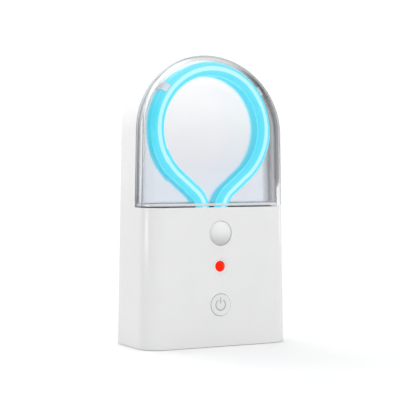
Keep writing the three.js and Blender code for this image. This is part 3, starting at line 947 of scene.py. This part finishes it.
def cap_profile(rim_radius, rim_y, top_y, steps):
    """A dome's curve from its rim to its top, as (radius, place along the axis)."""
    rise = abs(top_y - rim_y)
    radius = (rim_radius**2 + rise**2) / (2 * rise)
    rim_angle = math.asin(min(1, rim_radius / radius))
    towards = 1 if top_y > rim_y else -1
    points = []
    for i in range(steps + 1):
        angle = rim_angle * (1 - i / steps)
        along = top_y - towards * radius * (1 - math.cos(angle))
        points.append((radius * math.sin(angle) if i < steps else 0, along))
    return points


def sensor_lens():
    rim_y = front_y + 0.3
    top_y = front_y - sensor_rise
    skin = 0.9
    flange_y = front_inner_y + gap
    outer = cap_profile(sensor_radius, rim_y, top_y, 20)
    inner = cap_profile(sensor_radius - skin, rim_y, top_y + skin, 12)
    profile = [
        *reversed(inner),
        (sensor_radius - skin, flange_y + 1),
        (sensor_radius + 1, flange_y + 1),
        (sensor_radius + 1, flange_y),
        (sensor_radius, flange_y),
        *outer,
    ]
    lens = turned(profile, "Y", (0, sensor_z), "sensor_dome", 72)
    smoothed(lens)
    return settle(lens, milky_painted_shade_finish, "housing", "sensor_lens_plastic", "sensor_lens")


def status_led():
    back = -8.9
    tip_y = front_y - 0.5
    rim_radius = led_radius + 0.4
    profile = [
        (0, back),
        (rim_radius, back),
        (rim_radius, back - 1),
        (led_radius, back - 1),
        *cap_profile(led_radius, tip_y + led_radius * 0.9, tip_y, 16),
    ]
    led = turned(profile, "Y", (0, led_z), "red_led", 48)
    smoothed(led)
    settle(led, status_finish, "housing", "led_red", "status_led")
    cone = [
        (0, front_y + bezel_depth),
        (bezel_radius, front_y + bezel_depth),
        (bezel_radius, front_y - 0.02),
        (bezel_radius - 0.15, front_y - 0.05),
        (led_radius + 0.15, front_y + 0.7),
        (0, front_y + 0.7),
    ]
    bezel = turned(cone, "Y", (0, led_z), "status_led_bezel", 64)
    bezel = cut(bezel, rod_y(0, led_z, led_radius + 0.06, front_y - 1, front_y + 1))
    smoothed(bezel)
    bezel.data.materials.append(bezel_painted_glow_finish.material)
    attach(bezel, "housing")


symbol_radius = 2.5
symbol_line = 0.5


def symbol_shapes(y0, y1, name):
    """A power symbol: a ring open at the top, and a short bar in the opening."""
    opening = math.radians(34)
    steps = 40
    angles = [
        math.pi / 2 + opening + (2 * math.pi - 2 * opening) * i / steps
        for i in range(steps + 1)
    ]
    radii = (symbol_radius + symbol_line / 2, symbol_radius - symbol_line / 2)
    outline = [(radii[0] * math.cos(a), radii[0] * math.sin(a)) for a in angles]
    outline += [(radii[1] * math.cos(a), radii[1] * math.sin(a)) for a in reversed(angles)]
    rings = [[(x, y, button_z + z) for x, z in outline] for y in (y0, y1)]
    half = symbol_line / 2
    bar = block(-half, half, y0, y1, button_z + 0.75, button_z + 3.4, name + "_bar")
    return [lofted(rings, name + "_ring"), bar]


def power_button():
    face_y = front_y - 0.2
    flange_y = front_inner_y + gap
    stem_end = -13.4
    stem_radius = 1.5
    flange_radius = button_radius + 1.1
    profile = [
        (0, stem_end),
        (stem_radius, stem_end),
        (stem_radius, flange_y + 0.8),
        (flange_radius, flange_y + 0.8),
        (flange_radius, flange_y),
        (button_radius, flange_y),
        (button_radius, face_y),
        (button_radius - 0.9, face_y),
        (2.4, face_y + 0.2),
        (0, face_y + 0.26),
    ]
    button = turned(profile, "Y", (0, button_z), "button_cap", 96)
    button = cut(button, *symbol_shapes(face_y - 1, face_y + 0.5, "tool"))
    smoothed(button, 0.12, 2)
    settle(button, button_finish, "power_button", "white_plastic", "power_button")
    for inlay in symbol_shapes(face_y + 0.3, face_y + 0.5, "power_symbol"):
        smoothed(inlay)
        inlay.data.materials.append(symbol_finish.material)
        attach(inlay, "power_button")


# ---------- Fasteners, feet and cells ----------


def case_screw(place, node):
    x, z = place
    head_y = back_y - 0.15
    tip_y = 6
    profile = [
        (0, tip_y),
        (0.4, tip_y),
        (1, tip_y + 1),
        (1, head_y - 0.8),
        (screw_head_radius, head_y - 0.8),
        (screw_head_radius, head_y - 0.2),
        (screw_head_radius - 0.25, head_y),
        (0, head_y + 0.05),
    ]
    screw = turned(profile, "Y", place, node + "_turned", 40)
    low, long, short = head_y - 0.48, 1.1, 0.28
    slots = [
        block(x - long, x + long, low, ROOMY, z - short, z + short),
        block(x - short, x + short, low, ROOMY, z - long, z + long),
    ]
    screw = cut(screw, *slots)
    smoothed(screw, 0.06, 2)
    return settle(screw, screw_finish, "housing", "screw_steel", node)


def foot(place, node):
    high = foot_stand + foot_recess - gap
    profile = [
        (0, 0),
        (foot_radius - 0.7, 0),
        (foot_radius - 0.3, 0.1),
        (foot_radius - 0.08, 0.35),
        (foot_radius, 0.7),
        (foot_radius, high),
        (0, high),
    ]
    pad = turned(profile, "Z", place, node + "_pad", 56)
    smoothed(pad)
    return settle(pad, rubber_finish, "housing", "rubber", node)


def battery_cell(node):
    """A cell turned about the middle of its CAD node, with its nub at the same end."""
    low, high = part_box(node)
    centre = (low + high) / 2 / MM
    radius = 7.1
    upright = node in ("battery_cell_1", "battery_cell_3")
    start, end = low.z / MM, high.z / MM
    length = end - start
    profile = [
        (0, 0),
        (radius - 1, 0),
        (radius - 0.3, 0.15),
        (radius, 0.6),
        (radius, length - 1.6),
        (radius - 0.35, length - 1.1),
        (radius - 1.2, length - 1),
        (2.7, length - 1),
        (2.6, length - 0.15),
        (2.3, length),
        (0, length),
    ]
    place = (lambda along: start + along) if upright else (lambda along: end - along)
    turned_profile = [(r, place(along)) for r, along in profile]
    cell = turned(turned_profile, "Z", (centre.x, centre.y - depth_shift), node + "_can", 56)
    smoothed(cell)
    return settle(cell, sleeve_finish, "housing", "cell_wrap", node)


main_housing()
clear_cover()
back_cover()
battery_door()
reflector_panel()
chamber_floor()
uv_lamp()
lamp_clip(-1, "lamp_clip_left")
lamp_clip(1, "lamp_clip_right")
sensor_lens()
status_led()
power_button()
for index, place in enumerate(case_screws):
    case_screw(place, f"case_screw_{index + 1}")
for corner, place in feet.items():
    foot(place, f"foot_{corner}")
for index in range(4):
    battery_cell(f"battery_cell_{index + 1}")

# ---------- CAD nodes that keep their own shape ----------

kept_nodes = {
    "lamp_holder": ceramic_finish,
    "lamp_cap_left": ceramic_finish,
    "lamp_cap_right": ceramic_finish,
    "lamp_lead_left": white_wire_finish,
    "lamp_lead_right": white_wire_finish,
    "motion_sensor": can_finish,
    "switch_body": dark_finish,
    "switch_plunger": dark_finish,
    "circuit_board": green_finish,
    "inverter_transformer": ferrite_finish,
    "capacitor_1": dark_finish,
    "capacitor_2": dark_finish,
    "controller_chip": dark_finish,
    "battery_lead_red": red_wire_finish,
    "battery_lead_black": black_wire_finish,
}
for index in range(4):
    kept_nodes[f"battery_spring_{index + 1}"] = spring_finish
    kept_nodes[f"board_screw_{index + 1}"] = screw_finish
for index in range(5):
    kept_nodes[f"battery_contact_{index + 1}"] = spring_finish

for node, finish in kept_nodes.items():
    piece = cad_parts[node]
    piece.data.materials.clear()
    piece.data.materials.append(finish.material)
    if "spring" in node or "lead" in node:
        rounder = piece.modifiers.new("round section", "SUBSURF")
        rounder.levels = rounder.render_levels = 1
    else:
        rounder = piece.modifiers.new("round edges", "BEVEL")
        rounder.width = 0.12 * MM
        rounder.segments = 2
        rounder.limit_method = "ANGLE"

# ---------- Camera ----------

view_turn = math.radians(27.525)
view_drop = math.radians(1.359)
view_distance = 617.289
view_target_z = 67.783
view_side = -1.881

right = Vector((math.cos(view_turn), -math.sin(view_turn), 0))
forward = Vector(
    (
        math.sin(view_turn) * math.cos(view_drop),
        math.cos(view_turn) * math.cos(view_drop),
        -math.sin(view_drop),
    )
)
above = right.cross(forward)
target = right * view_side + Vector((0, depth_shift, view_target_z))
camera_data = bpy.data.cameras.new("camera")
camera_data.lens = 117.12
camera_data.sensor_width = 36
camera_data.clip_start = 0.01
camera_data.clip_end = 50
camera = bpy.data.objects.new("camera", camera_data)
scene.collection.objects.link(camera)
spot = (target - forward * view_distance) * MM
turn = Matrix((right, above, -forward)).transposed().to_4x4()
camera.matrix_world = Matrix.Translation(spot) @ turn
scene.camera = camera

# ---------- Floor and light ----------


def floor_finish():
    finish = Finish("floor", 0.6)
    clouds = finish.noise(60, 2)
    finish.feed("Base Color", finish.ramp(clouds, (0.3, (0.955,) * 3), (0.7, (0.965,) * 3)))
    finish.shader.inputs["Specular IOR Level"].default_value = 0.2
    return finish


def make_floor():
    bm = bmesh.new()
    reach = 20000
    corners = [(-reach, -reach, 0), (reach, -reach, 0), (reach, reach, 0), (-reach, reach, 0)]
    bm.faces.new([bm.verts.new(corner) for corner in corners])
    floor = piece_from(bm, "floor")
    floor.data.materials.append(floor_finish().material)


make_floor()


def softbox(name, place, aim, width, height, radiance, colour=(1, 1, 1)):
    """A rectangular area light at place, in metres, facing aim, with a given brightness."""
    data = bpy.data.lights.new(name, "AREA")
    data.shape = "RECTANGLE"
    data.size = width
    data.size_y = height
    data.energy = radiance * math.pi * width * height
    data.color = colour
    light = bpy.data.objects.new(name, data)
    light.location = place
    light.visible_camera = False
    direction = Vector(aim) - Vector(place)
    light.rotation_euler = direction.to_track_quat("-Z", "Y").to_euler()
    scene.collection.objects.link(light)


def around(azimuth, distance, height):
    """A place by its azimuth in degrees from the front, positive to the right."""
    angle = math.radians(azimuth)
    return (math.sin(angle) * distance, -math.cos(angle) * distance, height)


softbox("left_box", around(-94, 1.0, 0.038), (0, 0, 0.038), 0.4, 0.056, 3.8)
softbox("right_box", around(98, 1.0, 0.0235), (0, 0, 0.0235), 0.16, 0.044, 2.2)

world = bpy.data.worlds.new("studio")
scene.world = world
world.use_nodes = True
sky_nodes = world.node_tree.nodes
sky_links = world.node_tree.links
sky_direction = sky_nodes.new("ShaderNodeTexCoord").outputs["Generated"]


def sky_patch(azimuth, elevation, core, reach, change):
    """A soft round patch of the sky, brighter or darker by change than the rest."""
    level = math.cos(math.radians(elevation))
    side, front, _ = around(azimuth, level, 0)
    dot = sky_nodes.new("ShaderNodeVectorMath")
    dot.operation = "DOT_PRODUCT"
    dot.inputs[1].default_value = (side, front, math.sin(math.radians(elevation)))
    sky_links.new(sky_direction, dot.inputs[0])
    fall = sky_nodes.new("ShaderNodeMapRange")
    fall.interpolation_type = "SMOOTHSTEP"
    fall.inputs["From Min"].default_value = math.cos(math.radians(reach))
    fall.inputs["From Max"].default_value = math.cos(math.radians(core))
    fall.inputs["To Max"].default_value = change
    sky_links.new(dot.outputs["Value"], fall.inputs["Value"])
    return fall.outputs["Result"]


sky_level = 0.9
backdrop_level = 1.05
# Each patch has its azimuth and elevation, the radius of its even core and of its whole reach,
# all in degrees, and its change of the sky's level.
patches = [
    sky_patch(0, 90, 15, 65, 0.55),
    sky_patch(152, 0, 14, 38, 0.15),
    sky_patch(-165, 26, 6, 38, 1.3),
    sky_patch(108, 12, 12, 33, -0.6),
    sky_patch(125, 52, 14, 42, -0.3),
    sky_patch(-98, 22, 15, 58, -0.45),
    sky_patch(28, 18, 4, 22, 0.35),
    sky_patch(28, -2, 3, 14, -0.14),
    sky_patch(0, 22, 20, 60, 0.07),
]
total = None
for patch in patches:
    adder = sky_nodes.new("ShaderNodeMath")
    adder.operation = "ADD"
    sky_links.new(patch, adder.inputs[0])
    if total is None:
        adder.inputs[1].default_value = sky_level
    else:
        sky_links.new(total, adder.inputs[1])
    total = adder.outputs["Value"]
# The backdrop itself is plain white. The patches only light the object and show in it.
backdrop = sky_nodes.new("ShaderNodeMix")
backdrop.inputs["B"].default_value = backdrop_level
seen_directly = sky_nodes.new("ShaderNodeLightPath").outputs["Is Camera Ray"]
sky_links.new(seen_directly, backdrop.inputs["Factor"])
sky_links.new(total, backdrop.inputs["A"])
sky_links.new(backdrop.outputs["Result"], sky_nodes["Background"].inputs["Strength"])
sky_nodes["Background"].inputs["Color"].default_value = (1, 1, 1, 1)

scene.view_settings.view_transform = "Standard"
scene.cycles.max_bounces = 16
scene.cycles.transmission_bounces = 14
scene.cycles.transparent_max_bounces = 16
